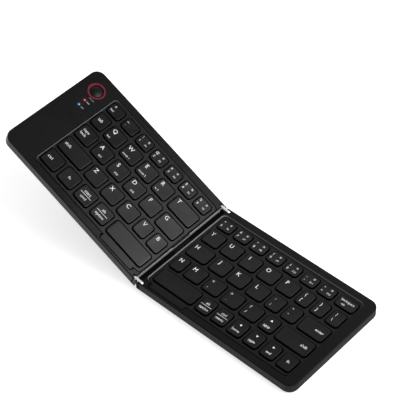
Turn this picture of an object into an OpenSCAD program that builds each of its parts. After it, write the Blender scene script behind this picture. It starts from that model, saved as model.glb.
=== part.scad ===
// Folding keyboard in two slim halves, joined by a double-pivot hinge at its front and rear ends.
// X runs along the keyboard to its right end, Y to its rear edge and Z up from the table.
// Each half is drawn lying open, with the fold line at x = 0. The right half stays so on the
// table, and the left half is then raised about both hinge pins by the fold angle.

/* [Halves] */
// Length of one half, from the fold line to its far end
half_len = 146; // [142:1:156]
// Depth of the keyboard, from its front edge to its rear edge
depth = 98; // [96:1:106]
// Thickness of one half's case, without its feet
case_t = 8; // [7.4:0.1:8.6]
// Height of the feet
foot_h = 0.5; // [0.4:0.1:1]
// Radius of the far corners, seen from above
corner_r = 7.5; // [5:0.5:9]
// Rounding of the case's upper edge
top_round = 0.8; // [0.4:0.1:1]
// Rounding of the bottom cover's lower edge
bottom_round = 1; // [0.4:0.1:1.1]
// Wall thickness of the case
wall_t = 1.5; // [1.2:0.1:1.8]
// Thickness of the rim that frames the keys
rim_t = 1.3; // [1.1:0.1:1.6]
// Thickness of the bottom cover's floor
floor_t = 1; // [0.9:0.1:1.2]
// Height of the bottom cover's outer edge
cover_edge_h = 1.5; // [1.3:0.1:1.8]
// Angle by which the left half is raised
fold_angle = 26.4; // [0:0.1:120]

/* [Key well] */
// Width of the front and rear rims
side_rim_w = 6.4; // [5.8:0.1:7]
// Width of the rim at the right end
end_rim_w = 9; // [8.8:0.1:12]
// Width of the plain panel at the left end
panel_w = 27.5; // [26:0.5:32]
// Distance of the well's edge from the fold line
fold_rim_w = 3.9; // [3.7:0.1:4.2]
// Corner radius of the well
well_r = 3.5; // [2:0.5:5]
// Width of the well's sloping side, seen from above
well_slope = 0.75; // [0.4:0.05:1]
// Distance of the thumb relief from the fold line
relief_x = 9.8; // [9.7:0.1:12]
// Length of the thumb relief in front of each space bar
relief_len = 33.5; // [20:0.1:40]
// Depth of the thumb relief
relief_d = 3.8; // [2:0.1:4]

/* [Keys] */
// Distance of the first keys' places from the fold line
key_start = 5.4; // [5.3:0.1:6]
// Distance of the places' far end from the well's edge
key_end_gap = 0.3; // [0.1:0.05:0.6]
// Distance of the front keycaps from the well's edge
key_front_gap = 3.1; // [2.6:0.1:3.6]
// Distance of the rear keycaps from the well's edge
key_rear_gap = 2.68; // [2:0.01:3.6]
// Width of a letter key's place
letter_w = 17.85; // [17:0.05:18.6]
// Distance between neighbouring keycaps
cap_space = 2.83; // [2.4:0.01:3.2]
// Length of the number row's keycaps, front to rear
number_cap_len = 10.9; // [9:0.1:12]
// Corner radius of a keycap
cap_r = 2.4; // [1.5:0.1:3]
// Clearance between a keycap and its opening in the deck
cap_clear = 0.5; // [0.35:0.05:0.6]
// Height of a keycap's face above the deck
cap_rise = 0.85; // [0.7:0.05:1.1]
// Height of a keycap
cap_h = 2.2; // [2:0.1:2.4]
// Wall thickness of a keycap
cap_wall = 0.9; // [0.7:0.1:1.1]
// Bevel round a keycap's face, seen from above
cap_bevel = 0.35; // [0.2:0.05:0.5]
// Key travel
key_travel = 1.2; // [0.8:0.1:1.3]
// Width of the tab key's place
tab_w = 14.4; // [13:0.1:16]
// Width of the caps lock key's place
caps_w = 18.3; // [17:0.1:20]
// Width of the left shift key's place
shift_w = 29.5; // [26:0.1:32]
// Width of the left control key's place
ctrl_w = 18.5; // [17:0.1:20]
// Width of the T key's place
t_w = 27; // [25:0.1:29]
// Width of the G key's place
g_w = 23.1; // [21:0.1:25]
// Width of the V and B keys' places
vb_w = 14.875; // [14:0.005:16]
// Width of the left space bar's place
left_space_w = 40.75; // [38:0.01:43]
// Width of each place in the right half's number row, apart from backspace
number_w = 16; // [15:0.1:16.5]
// Width of the backspace key's place
backspace_w = 19.3; // [18:0.1:22]
// Width of the Y key's place
y_w = 18.2; // [17:0.1:19]
// Width of each bracket key's place
bracket_w = 13.9; // [13:0.05:15]
// Width of the H key's place
h_w = 22.4; // [21:0.1:24]
// Width of the enter key's place
enter_w = 25.15; // [23:0.05:27]
// Width of the N key's place
n_w = 13.7; // [13:0.1:15]
// Width of the right shift key's place
right_shift_w = 31.12; // [29:0.01:33]
// Width of the semicolon and quote keys' places
punct_w = 15.1; // [14:0.1:16]
// Width of the small keys' places in the bottom row
small_w = 15.08; // [14.5:0.01:16]
// Width of the right space bar's place
right_space_w = 40.82; // [38:0.01:43]

/* [Control panel] */
// Distance of the power button from the left end
button_end_x = 14.2; // [12.5:0.1:14.5]
// Distance of the power button behind the middle line
button_y = 33.6; // [33:0.1:35]
// Diameter of the ring round the power button
ring_d = 14.2; // [13.6:0.1:15.2]
// Bore of the ring
ring_bore_d = 11.4; // [11:0.1:12]
// Width of the ring's hidden flange
ring_flange_w = 0.8; // [0.5:0.1:1]
// Travel of the power button
button_travel = 0.4; // [0.2:0.05:0.5]
// Diameter of the button's domed middle
button_dome_d = 9; // [8:0.1:10]
// Depth of the groove round the button's dome
button_groove = 0.9; // [0.5:0.1:1]
// Diameter of the status lights
light_d = 2; // [1.4:0.1:2.4]
// Distance of the status lights from the left end
light_end_x = 14.4; // [12:0.1:16]
// Distance of the red light behind the middle line
red_light_y = 20.9; // [20:0.1:22]
// Distance of the blue light behind the middle line
blue_light_y = 14.8; // [13:0.1:17]

/* [Hinge] */
// Depth of the pin axes below the rim
pin_drop = 3; // [2.9:0.1:3.2]
// Gap between the two rims when the keyboard is shut
fold_gap = 0.2; // [0.1:0.05:0.4]
// Radius of the hinge pins
pin_r = 1.1; // [0.8:0.05:1.3]
// Clearance of the pins in the links
pin_clear = 0.05; // [0.03:0.01:0.08]
// Radius of the links' round ends
link_r = 2.6; // [2.3:0.1:2.7]
// Thickness of the links
link_t = 2; // [1.8:0.1:2.2]
// Clearance beside the links in their slots
link_clear = 0.15; // [0.1:0.05:0.25]
// Clearance beyond the links' ends
link_end_clear = 0.35; // [0.3:0.05:0.5]
// Thickness of the ears outside the links
ear_t = 1.15; // [1:0.05:1.4]
// Distance of the halves' inner walls from the fold line
wall_back = 2.6; // [2.4:0.1:2.7]
// Rounding of the inner walls' upper edge
wall_round = 0.7; // [0.5:0.1:0.8]
// Clearance round the spine bar
spine_clear = 0.3; // [0.2:0.05:0.5]
// Width of the ribbon cable that crosses the hinge
ribbon_w = 17; // [12:0.5:20]
// Distance of the ribbon cable behind the middle line
ribbon_y = 0.7; // [-2:0.1:2]

/* [Inside] */
// Thickness of the steel key plates
plate_t = 0.4; // [0.3:0.05:0.45]
// Thickness of the switch membranes
membrane_t = 0.4; // [0.3:0.05:0.5]
// Base diameter of the rubber domes
dome_d = 5.4; // [4:0.1:6]
// Depth of the deck, which the membrane backs
deck_t = 2.6; // [2.4:0.1:2.7]
// Battery length, width and thickness
battery_size = [66, 46, 2];
// Thickness of the control board
board_t = 0.8; // [0.6:0.1:1]
// Diameter of the closing magnets
magnet_d = 5; // [3:0.5:5]
// Thickness of the closing magnets
magnet_t = 2; // [1:0.1:2.2]
// Distance of the magnets from the middle line
magnet_y = 22; // [20:0.5:23]
// Charging socket length, width and height
socket = [5.6, 7.5, 2.6];
// Shell thickness of the charging socket
socket_wall = 0.3; // [0.2:0.05:0.4]
// Distance of the charging socket behind the middle line
socket_y = 6; // [2:0.5:10]
// Width of the rear foot strips
strip_w = 6; // [5:0.5:7]
// Diameter of the round feet
foot_d = 8; // [6:0.5:9]
// Distance of the round feet from the fold line and from the far end
foot_end_x = 12; // [11:0.5:16]
// Distance of the round feet from the front edge
foot_front_y = 11; // [10:0.5:14]
// Radius of the cover screws
screw_r = 0.8; // [0.6:0.05:0.9]

/* [Hidden] */
$fn = 96;
GRAPHITE = "#2c2d2f";
SATIN_BLACK = "#1d1e20";
KEY_BLACK = "#232426";
STEEL = "#9fa3a8";
RUBBER = "#141415";

// Heights, from the table up
case_z = foot_h;
top_z = foot_h + case_t;
split_z = case_z + cover_edge_h;
floor_z = case_z + floor_t;
deck_z = top_z - rim_t;
membrane_top = deck_z - deck_t;
plate_top = membrane_top - membrane_t;
plate_z = plate_top - plate_t;
cap_top = deck_z + cap_rise;
cap_z = cap_top - cap_h;
foot_sink = 0.2;
pocket_z = case_z + foot_sink;

// Hinge
pin_x = pin_drop + fold_gap / 2;
pin_z = top_z - pin_drop;
slot_out = depth / 2 - ear_t;
slot_in = slot_out - link_t - 2 * link_clear;
slot_end = pin_x + link_r + link_end_clear;
block_y = slot_in - 1.7;
block_len = slot_end + 2;
block_clear = 0.1;
inner_wall_t = 1.7;
cavity_x = wall_back + inner_wall_t;
pin_in_y = block_y + 0.2;
pin_out_y = depth / 2 - ear_t / 2;

// Well and decks
well_y = depth / 2 - side_rim_w;
right_well_x = half_len - end_rim_w;
left_well_x = half_len - panel_w;
ledge = 0.8;
deck_fold_x = cavity_x + 0.1;
sheet_y = block_y - 0.1;
overcut = 0.2;
far = 2 * half_len;

// Rows of keys: the places begin near the fold line and end near the well's far edge
right_places = right_well_x - key_end_gap - key_start;
left_places = left_well_x - key_end_gap - key_start;
half_web = cap_space / 2;
row_pitch = (2 * well_y - key_front_gap - key_rear_gap - number_cap_len) / 4;
cap_len = row_pitch - cap_space;
front_cap_y = key_front_gap - well_y;
LETTERS = [for (i = [1:4]) letter_w];
THREE_LETTERS = [for (i = [1:3]) letter_w];

function sum(v, n) = n <= 0 ? 0 : v[n - 1] + sum(v, n - 1);

// Places of one row, stretched together to fill the row's length
function fill(total, v) = [for (w = v) round(100 * w * total / sum(v, len(v))) / 100];

// Widths of the places, each row from left to right and the number row first
LEFT_ROWS = [for (v = [
    [for (i = [1:7]) letter_w],
    concat(tab_w, LETTERS, t_w),
    concat(caps_w, LETTERS, g_w),
    concat(shift_w, THREE_LETTERS, vb_w, vb_w),
    concat(ctrl_w, THREE_LETTERS, left_space_w)
]) fill(left_places, v)];
RIGHT_ROWS = [for (v = [
    concat([for (i = [1:7]) number_w], backspace_w),
    concat(y_w, LETTERS, bracket_w, bracket_w, bracket_w),
    concat(h_w, THREE_LETTERS, punct_w, punct_w, enter_w),
    concat(n_w, LETTERS, small_w, right_shift_w),
    concat(right_space_w, [for (i = [1:6]) small_w])
]) fill(right_places, v)];

// Each node of keycaps: name, side, row, first place and number of places
LEFT = -1;
RIGHT = 1;
KEY_GROUPS = [
    ["esc_key", LEFT, 0, 0, 1],
    ["number_keys_1_to_5", LEFT, 0, 1, 6],
    ["tab_key", LEFT, 1, 0, 1],
    ["letter_keys_q_to_t", LEFT, 1, 1, 5],
    ["caps_lock_key", LEFT, 2, 0, 1],
    ["letter_keys_a_to_g", LEFT, 2, 1, 5],
    ["left_shift_key", LEFT, 3, 0, 1],
    ["letter_keys_z_to_b", LEFT, 3, 1, 5],
    ["left_ctrl_key", LEFT, 4, 0, 1],
    ["left_fn_key", LEFT, 4, 1, 1],
    ["start_key", LEFT, 4, 2, 1],
    ["left_alt_key", LEFT, 4, 3, 1],
    ["left_space_bar", LEFT, 4, 4, 1],
    ["number_keys_6_to_equals", RIGHT, 0, 0, 7],
    ["backspace_key", RIGHT, 0, 7, 1],
    ["letter_keys_y_to_p", RIGHT, 1, 0, 5],
    ["bracket_keys", RIGHT, 1, 5, 3],
    ["letter_keys_h_to_quote", RIGHT, 2, 0, 6],
    ["enter_key", RIGHT, 2, 6, 1],
    ["letter_keys_n_to_slash", RIGHT, 3, 0, 5],
    ["up_key", RIGHT, 3, 5, 1],
    ["right_shift_key", RIGHT, 3, 6, 1],
    ["right_space_bar", RIGHT, 4, 0, 1],
    ["right_alt_key", RIGHT, 4, 1, 1],
    ["right_ctrl_key", RIGHT, 4, 2, 1],
    ["left_arrow_key", RIGHT, 4, 3, 1],
    ["down_key", RIGHT, 4, 4, 1],
    ["right_arrow_key", RIGHT, 4, 5, 1],
    ["right_fn_key", RIGHT, 4, 6, 1]
];

// Feet and screws: the round feet stand near the front corners, and a strip runs along the rear
foot_in_x = foot_end_x;
foot_out_x = half_len - foot_end_x;
foot_y = foot_front_y - depth / 2;
strip_x = 8;
strip_len = foot_out_x - strip_x;
strip_y = depth / 2 - 2 - strip_w / 2;
screw_y = strip_y + 1.2;
SCREW_PLACES = [0.14, 0.52, 0.9];
boss_r = 1.9;
boss_clear = 0.15;
cover_boss_h = 0.7;
screw_head_r = 1.4;
screw_head_t = 0.5;
screw_len = 3.2;
screw_fit = 0.02;
lip_h = 1;
lip_t = 0.8;
post_r = 2;
post_y = depth / 2 - 17;

// Control panel, in the left half drawn open and mirrored to positive x
button_x = half_len - button_end_x;
light_x = half_len - light_end_x;
ring_top = top_z - 0.05;
ring_flange_t = 0.8;
ring_fit = 0.05;
button_fit = 0.15;
button_top = top_z - 0.2;
button_flange_t = 0.3;
button_flange_top = deck_z - ring_flange_t - 0.1;
button_z = button_flange_top - button_flange_t;
board_z = plate_z - 0.2;
board_top = board_z + board_t;
board_x0 = left_well_x + 3;
board_x1 = half_len - wall_t - 1.4;
board_y0 = 19 - depth / 2;
board_y1 = depth / 2 - 10;

// Place of the middle of the model's footprint, which becomes the origin
half_fold = fold_angle / 2;
left_pin = [pin_x - 2 * pin_x * cos(half_fold), pin_z + 2 * pin_x * sin(half_fold)];
end_arc = [bottom_round - half_len + pin_x, case_z + bottom_round - pin_z];
left_edge = left_pin[0] + end_arc[0] * cos(fold_angle) + end_arc[1] * sin(fold_angle)
    - bottom_round;
origin_x = (half_len + left_edge) / 2;

// ---- Placing the halves ----

module on_base() {
    translate([-origin_x, 0, 0]) children();
}

module on_link() {
    on_base()
        translate([pin_x, 0, pin_z]) rotate([0, half_fold, 0])
            translate([-pin_x, 0, -pin_z]) children();
}

module on_left() {
    on_link()
        translate([-pin_x, 0, pin_z]) rotate([0, half_fold, 0])
            translate([pin_x, 0, -pin_z]) children();
}

module mirrored() {
    mirror([1, 0, 0]) children();
}

// ---- Outlines ----

// Section across a half, w wide, with its upper and lower edges rounded
module edge_section(w) {
    mid_z = case_z + case_t / 2;
    translate([-w / 2, case_z + bottom_round]) square([w, case_t - top_round - bottom_round]);
    translate([-w / 2 + top_round, mid_z]) square([w - 2 * top_round, top_z - mid_z]);
    translate([-w / 2 + bottom_round, case_z]) square([w - 2 * bottom_round, mid_z - case_z]);
    for (side = [-1, 1]) {
        translate([side * (w / 2 - top_round), top_z - top_round]) circle(top_round);
        translate([side * (w / 2 - bottom_round), case_z + bottom_round]) circle(bottom_round);
    }
}

// Solid block of one half with rounded far corners, from the fold line to the far end
module slab() {
    corner_x = half_len - corner_r;
    corner_y = depth / 2 - corner_r;
    rotate([90, 0, 90]) linear_extrude(corner_x) edge_section(depth);
    translate([corner_x, corner_y, 0]) rotate([90, 0, 0])
        linear_extrude(2 * corner_y) edge_section(2 * corner_r);
    for (side = [-1, 1]) translate([corner_x, side * corner_y, 0])
        rotate_extrude() intersection() {
            edge_section(2 * corner_r);
            square([corner_r, 2 * top_z]);
        }
}

// Plan of a half, inset from its edge
module half_plan(inset) {
    corner_x = half_len - corner_r;
    corner_y = depth / 2 - corner_r;
    translate([0, inset - depth / 2]) square([corner_x, depth - 2 * inset]);
    translate([corner_x - 1, -corner_y]) square([corner_r + 1 - inset, 2 * corner_y]);
    for (side = [-1, 1]) translate([corner_x, side * corner_y]) circle(corner_r - inset);
}

// Side view of an ear: round about its pin above, with a flat stop below
module ear_side() {
    translate([pin_x - pin_drop, -1]) square([far, pin_z + 1]);
    translate([pin_x, pin_z]) circle(pin_drop);
    translate([pin_x, -1]) square([far, 2 * top_z]);
}

// Side view of the inner wall, set back from the fold line with a rounded upper edge
module inner_wall_side() {
    arc_dx = wall_back + wall_round - pin_x;
    arc_z = pin_z + sqrt(pow(pin_drop - wall_round, 2) - arc_dx * arc_dx);
    tangent_x = pin_x + arc_dx * pin_drop / (pin_drop - wall_round);
    translate([wall_back, -1]) square([far, arc_z + 1]);
    translate([wall_back + wall_round, arc_z]) circle(wall_round);
    intersection() {
        union() {
            translate([pin_x, pin_z]) circle(pin_drop);
            translate([pin_x, -1]) square([far, 2 * top_z]);
        }
        translate([tangent_x, -1]) square([far, 3 * top_z]);
    }
}

// Extrudes a side view along Y between two places
module across(y0, y1) {
    translate([0, y1, 0]) rotate([90, 0, 0]) linear_extrude(y1 - y0) children();
}

// What the hinge leaves of a half at the fold line: inner wall, ears and the links' slots
module hinge_trim() {
    translate([slot_end, -depth, -1]) cube([far, 2 * depth, 3 * top_z]);
    across(-slot_in, slot_in) inner_wall_side();
    across(slot_out, depth) ear_side();
    across(-depth, -slot_out) ear_side();
}

// Blocks at the front and rear of the fold line that carry the pins
module hinge_blocks(clear) {
    for (side = [-1, 1]) translate([-1, side * (depth + block_y - clear) - depth, -1])
        cube([block_len + 1 + clear, 2 * depth, 3 * top_z]);
}

// Plan of the space inside a half's walls, inset from them
module inner_plan(inset) {
    difference() {
        intersection() {
            half_plan(wall_t + inset);
            translate([cavity_x + inset, -depth]) square([far, 2 * depth]);
        }
        for (side = [-1, 1]) translate([0, side * (block_y - inset + depth / 2)])
            square([2 * (block_len + inset), depth], center = true);
    }
}

// Rounded rectangle, drawn flat
module round_rect(x0, x1, y0, y1, r) {
    translate([x0 + r, y0]) square([x1 - x0 - 2 * r, y1 - y0]);
    translate([x0, y0 + r]) square([x1 - x0, y1 - y0 - 2 * r]);
    for (x = [x0 + r, x1 - r], y = [y0 + r, y1 - r]) translate([x, y]) circle(r);
}

// Rounded rectangle with leaning sides, inset by in0 at its foot z0 and by in1 at its top z1
module frustum(x0, x1, y0, y1, r, z0, z1, in0, in1) {
    for (x = [x0 + r, x1 - r], y = [y0 + r, y1 - r])
        translate([x, y, z0]) cylinder(h = z1 - z0, r1 = r - in0, r2 = r - in1);
    translate([x0 + r, 0, 0]) rotate([90, 0, 90]) linear_extrude(x1 - x0 - 2 * r)
        polygon([[y0 + in0, z0], [y1 - in0, z0], [y1 - in1, z1], [y0 + in1, z1]]);
    across(y0 + r, y1 - r)
        polygon([[x0 + in0, z0], [x1 - in0, z0], [x1 - in1, z1], [x0 + in1, z1]]);
}

// Cutter for the key well and for the thumb relief in front of the space bar
module well_cut(well_x) {
    slope = well_slope / rim_t;
    out = slope * overcut;
    relief_r = 1.8;
    frustum(fold_rim_w - out, well_x + out, -well_y - out, well_y + out, well_r + out,
        deck_z - overcut, top_z + overcut, well_slope + 2 * out, 0);
    frustum(relief_x - out, relief_x + relief_len + out, -well_y - relief_d - out, 0,
        relief_r + out, deck_z, top_z + overcut, well_slope + out, 0);
}

// ---- Cases and covers ----

// Screw places of a half, each child standing at one of them
module at_screws(well_x) {
    for (place = SCREW_PLACES) translate([place * well_x, screw_y, 0]) children();
}

module half_case(well_x) {
    difference() {
        intersection() {
            slab();
            union() {
                translate([-1, -depth, split_z]) cube([far, 2 * depth, 2 * top_z]);
                hinge_blocks(0);
            }
            hinge_trim();
        }
        translate([0, 0, -1]) linear_extrude(deck_z + 1) inner_plan(0);
        well_cut(well_x);
        for (side = [-1, 1]) translate([pin_x, side * pin_in_y, pin_z])
            rotate([-90 * side, 0, 0]) cylinder(h = pin_out_y - pin_in_y, r = pin_r + screw_fit);
    }
    at_screws(well_x) difference() {
        boss_z = floor_z + cover_boss_h;
        translate([0, 0, boss_z]) cylinder(h = deck_z - boss_z, r = boss_r);
        translate([0, 0, boss_z - 1]) cylinder(h = screw_len + 1, r = screw_r + screw_fit);
    }
}

module right_case() {
    color(GRAPHITE) on_base() half_case(right_well_x);
}

module left_case() {
    notch_d = 0.6;
    color(GRAPHITE) on_left() mirrored() difference() {
        half_case(left_well_x);
        translate([button_x, button_y, deck_z - 1])
            cylinder(h = 2 * rim_t + 1, d = ring_d + 2 * ring_fit);
        for (y = [red_light_y, blue_light_y]) translate([light_x, y, deck_z - 1])
            cylinder(h = 2 * rim_t + 1, d = light_d + 2 * ring_fit);
        translate([half_len - wall_t, socket_y, board_top + socket[2] / 2])
            cube([4 * wall_t, socket[1] + 0.2, socket[2] + 0.2], center = true);
        // Shallow notch in the fold edge, where the ribbon cable bows up as the halves close
        translate([-1, ribbon_y - ribbon_w / 2 - 0.5, top_z - notch_d])
            cube([fold_rim_w + well_slope + 1.1, ribbon_w + 1, 2]);
    }
}

module half_cover(well_x) {
    difference() {
        union() {
            intersection() {
                slab();
                translate([-1, -depth, 0]) cube([far, 2 * depth, split_z]);
                hinge_trim();
            }
            translate([0, 0, split_z - 0.5]) linear_extrude(lip_h + 0.5) inner_plan(0.1);
        }
        difference() {
            translate([0, 0, floor_z]) linear_extrude(2 * lip_h + cover_edge_h)
                inner_plan(0.1 + lip_t);
            at_screws(well_x) cylinder(h = floor_z + cover_boss_h, r = boss_r + 0.4);
        }
        hinge_blocks(block_clear);
        at_screws(well_x) {
            translate([0, 0, floor_z + cover_boss_h]) cylinder(h = far, r = boss_r + boss_clear);
            cylinder(h = far, r = screw_r + screw_fit);
            cylinder(h = pocket_z + 0.05 + screw_head_t, r = screw_head_r + screw_fit);
        }
        for (x = [foot_in_x, foot_out_x]) translate([x, foot_y, -1])
            cylinder(h = pocket_z + 1, d = foot_d);
        translate([block_len + 1, strip_y - strip_w / 2, -1])
            cube([foot_out_x - block_len - 1, strip_w, pocket_z + 1]);
    }
    for (x = [block_len + 14, well_x / 2, well_x - 9], y = [-post_y, post_y])
        translate([x, y, floor_z])
        cylinder(h = plate_z - floor_z, r = post_r);
}

module right_bottom_cover() {
    color(SATIN_BLACK) on_base() half_cover(right_well_x);
}

module left_bottom_cover() {
    color(SATIN_BLACK) on_left() mirrored() {
        half_cover(left_well_x);
        for (x = [board_x0 + 2.5, board_x1 - 2.5], y = [board_y0 + 4, board_y1 - 4])
            translate([x, y, floor_z]) cylinder(h = board_z - floor_z, r = 1.5);
    }
}

// ---- Key decks, plates and membranes ----

// Openings of one half's deck, r0 being the half's first row and side the half
module deck_openings(side, rows) {
    for (row = [0:4], i = [0:len(rows[row]) - 1])
        cap_outline(side, rows, row, i, -cap_clear);
}

// Outline of one keycap, drawn flat and inset from its foot
module cap_outline(side, rows, row, i, inset) {
    start = side == RIGHT ? key_start : -key_start - left_places;
    x0 = start + sum(rows[row], i) + half_web + inset;
    x1 = start + sum(rows[row], i + 1) - half_web - inset;
    y0 = front_cap_y + (4 - row) * row_pitch + inset;
    y1 = y0 + (row == 0 ? number_cap_len : cap_len) - 2 * inset;
    round_rect(x0, x1, y0, y1, cap_r - inset);
}

module deck_outline(well_x) {
    translate([deck_fold_x, -sheet_y]) square([well_x + ledge - deck_fold_x, 2 * sheet_y]);
    translate([block_len + 0.1, -well_y - relief_d - ledge])
        square([relief_x + relief_len + ledge - block_len - 0.1, relief_d + ledge]);
}

module right_key_deck() {
    color(GRAPHITE) on_base() translate([0, 0, membrane_top]) linear_extrude(deck_t)
        difference() {
            deck_outline(right_well_x);
            deck_openings(RIGHT, RIGHT_ROWS);
        }
}

module left_key_deck() {
    color(GRAPHITE) on_left() translate([0, 0, membrane_top]) linear_extrude(deck_t)
        difference() {
            mirrored() deck_outline(left_well_x);
            deck_openings(LEFT, LEFT_ROWS);
        }
}

module key_plate(well_x) {
    translate([deck_fold_x, -sheet_y, plate_z])
        cube([well_x + ledge - deck_fold_x, 2 * sheet_y, plate_t]);
}

module right_key_plate() {
    color(STEEL) on_base() key_plate(right_well_x);
}

module left_key_plate() {
    color(STEEL) on_left() mirrored() key_plate(left_well_x);
}

module membrane(side, rows, well_x) {
    dome_h = 1.3;
    mirror([side == RIGHT ? 0 : 1, 0, 0]) translate([deck_fold_x, -sheet_y, plate_top])
        cube([well_x + ledge - deck_fold_x, 2 * sheet_y, membrane_t]);
    start = side == RIGHT ? key_start : -key_start - left_places;
    for (row = [0:4], i = [0:len(rows[row]) - 1])
        translate([
            start + (sum(rows[row], i) + sum(rows[row], i + 1)) / 2,
            front_cap_y + (4 - row) * row_pitch + (row == 0 ? number_cap_len : cap_len) / 2,
            plate_top + membrane_t / 2
        ]) cylinder(h = membrane_t / 2 + dome_h, d1 = dome_d, d2 = dome_d / 2);
}

module right_membrane() {
    color(RUBBER) on_base() membrane(RIGHT, RIGHT_ROWS, right_well_x);
}

module left_membrane() {
    color(RUBBER) on_left() membrane(LEFT, LEFT_ROWS, left_well_x);
}

// ---- Keycaps ----

// Side view of a cap, w wide, from its foot to its bevelled face
module cap_side(w) {
    bevel_z = cap_top - 0.45;
    polygon([[-w / 2, cap_z], [w / 2, cap_z], [w / 2, bevel_z], [w / 2 - cap_bevel, cap_top],
        [cap_bevel - w / 2, cap_top], [-w / 2, bevel_z]]);
}

// Hollow cap with a bevelled face: two crossing prisms, and a turned corner at each end of both
module keycap(side, rows, row, i) {
    start = side == RIGHT ? key_start : -key_start - left_places;
    w = rows[row][i] - cap_space;
    l = row == 0 ? number_cap_len : cap_len;
    difference() {
        translate([
            start + sum(rows[row], i) + half_web + w / 2,
            front_cap_y + (4 - row) * row_pitch + l / 2,
            0
        ]) {
            across(cap_r - l / 2, l / 2 - cap_r) cap_side(w);
            rotate([0, 0, 90]) across(cap_r - w / 2, w / 2 - cap_r) cap_side(l);
            for (x = [cap_r - w / 2, w / 2 - cap_r], y = [cap_r - l / 2, l / 2 - cap_r])
                translate([x, y, 0]) rotate_extrude() intersection() {
                    cap_side(2 * cap_r);
                    square([cap_r, cap_top]);
                }
        }
        translate([0, 0, cap_z - 1]) linear_extrude(cap_h - cap_wall + 1)
            cap_outline(side, rows, row, i, cap_wall);
    }
}

module keycaps(group) {
    rows = group[1] == RIGHT ? RIGHT_ROWS : LEFT_ROWS;
    color(KEY_BLACK) on_half(group[1]) for (i = [group[3]:group[3] + group[4] - 1])
        keycap(group[1], rows, group[2], i);
}

module on_half(side) {
    if (side == RIGHT) on_base() children();
    else on_left() children();
}

// ---- Battery, board and socket ----

module battery() {
    color("#b9bcc0") on_base()
        translate([right_well_x / 2 + 5, -battery_size[1] / 2, floor_z]) cube(battery_size);
}

module control_board() {
    chip = [9, 9, 1];
    color("#1f5a3a") on_left() mirrored() {
        translate([board_x0, board_y0, board_z])
            cube([board_x1 - board_x0, board_y1 - board_y0, board_t]);
        translate([board_x0 + 4, board_y0 + 8, board_top]) cube(chip);
        translate([board_x0 + 5, board_y0 + 22, board_top]) cube([4, 3.2, 0.8]);
        translate([board_x0 + 5, board_y1 - 34, board_top]) cube([6, 2, 0.9]);
    }
}

module charging_socket() {
    mouth = 4.6;
    color(STEEL) on_left() mirrored()
        translate([half_len - 0.4 - socket[0], socket_y - socket[1] / 2, board_top]) {
            difference() {
                cube(socket);
                translate([socket[0] - mouth, socket_wall, socket_wall])
                    cube([mouth + 1, socket[1] - 2 * socket_wall, socket[2] - 2 * socket_wall]);
            }
            translate([socket[0] - mouth - 0.1, socket[1] / 2 - 1.9, socket[2] - 1.2])
                cube([mouth - 0.6, 3.8, 0.6]);
        }
}

// ---- Power button and lights ----

module power_ring() {
    color("#7d2233") on_left() mirrored() translate([button_x, button_y, 0]) difference() {
        union() {
            translate([0, 0, deck_z]) cylinder(h = ring_top - deck_z, d = ring_d);
            translate([0, 0, deck_z - ring_flange_t])
                cylinder(h = ring_flange_t, d = ring_d + 2 * ring_flange_w);
        }
        translate([0, 0, deck_z - 2]) cylinder(h = 2 * rim_t + 2, d = ring_bore_d);
        translate([0, 0, ring_top - 0.3])
            cylinder(h = 0.6, d1 = ring_bore_d, d2 = ring_bore_d + 1.2);
    }
}

module power_button() {
    button_r = ring_bore_d / 2 - button_fit;
    dome_r = 16;
    groove_z = button_top - button_groove;
    color(SATIN_BLACK) on_left() mirrored() translate([button_x, button_y, 0]) {
        translate([0, 0, button_z]) cylinder(h = button_flange_t, r = button_r + 0.9);
        translate([0, 0, button_z]) cylinder(h = groove_z - button_z, r = button_r);
        intersection() {
            translate([0, 0, groove_z - 0.1])
                cylinder(h = button_groove + 0.2, d = button_dome_d);
            translate([0, 0, button_top - dome_r]) sphere(dome_r);
        }
    }
}

module power_switch() {
    height = button_z - button_travel - 0.05 - board_top;
    color("#3a3a3c") on_left() mirrored() translate([button_x, button_y, board_top]) {
        translate([-2.6, -2.6, 0]) cube([5.2, 5.2, height - 0.3]);
        cylinder(h = height, r = 1.3);
    }
}

module light_pipe(y) {
    flange_r = light_d / 2 + 0.6;
    translate([light_x, y, 0]) {
        translate([0, 0, deck_z - 0.7]) cylinder(h = ring_top - deck_z + 0.7, d = light_d);
        translate([0, 0, board_top]) cylinder(h = deck_z - board_top, r = flange_r);
    }
}

module red_light() {
    color("#a3201c") on_left() mirrored() light_pipe(red_light_y);
}

module blue_light() {
    color("#c9d8ea") on_left() mirrored() light_pipe(blue_light_y);
}

// ---- Hinge ----

module link(side) {
    y0 = slot_in + link_clear;
    y1 = slot_out - link_clear;
    color("#dfe1e4") on_link() across(side > 0 ? y0 : -y1, side > 0 ? y1 : -y0) difference() {
        union() {
            translate([0, pin_z]) square([2 * pin_x, 2 * link_r], center = true);
            for (x = [-pin_x, pin_x]) translate([x, pin_z]) circle(link_r);
        }
        for (x = [-pin_x, pin_x]) translate([x, pin_z]) circle(pin_r + pin_clear);
    }
}

module front_link() {
    link(-1);
}

module rear_link() {
    link(1);
}

module pins() {
    for (side = [-1, 1]) translate([pin_x, side * pin_in_y, pin_z])
        rotate([-90 * side, 0, 0]) cylinder(h = pin_out_y - pin_in_y - 0.02, r = pin_r);
}

module right_hinge_pins() {
    color(STEEL) on_base() pins();
}

module left_hinge_pins() {
    color(STEEL) on_left() mirrored() pins();
}

spine_w = 2 * (wall_back - spine_clear);
spine_y = slot_in + link_clear;
spine_z = case_z + 0.1;
spine_top = pin_z - pin_x + wall_back - spine_clear;
groove_d = 0.3;

module hinge_spine() {
    color(SATIN_BLACK) on_link() difference() {
        translate([-spine_w / 2, -spine_y, spine_z])
            cube([spine_w, 2 * spine_y, spine_top - spine_z]);
        translate([-spine_w, ribbon_y - ribbon_w / 2 - 0.1, spine_top - groove_d])
            cube([2 * spine_w, ribbon_w + 0.2, 1]);
    }
}

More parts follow.
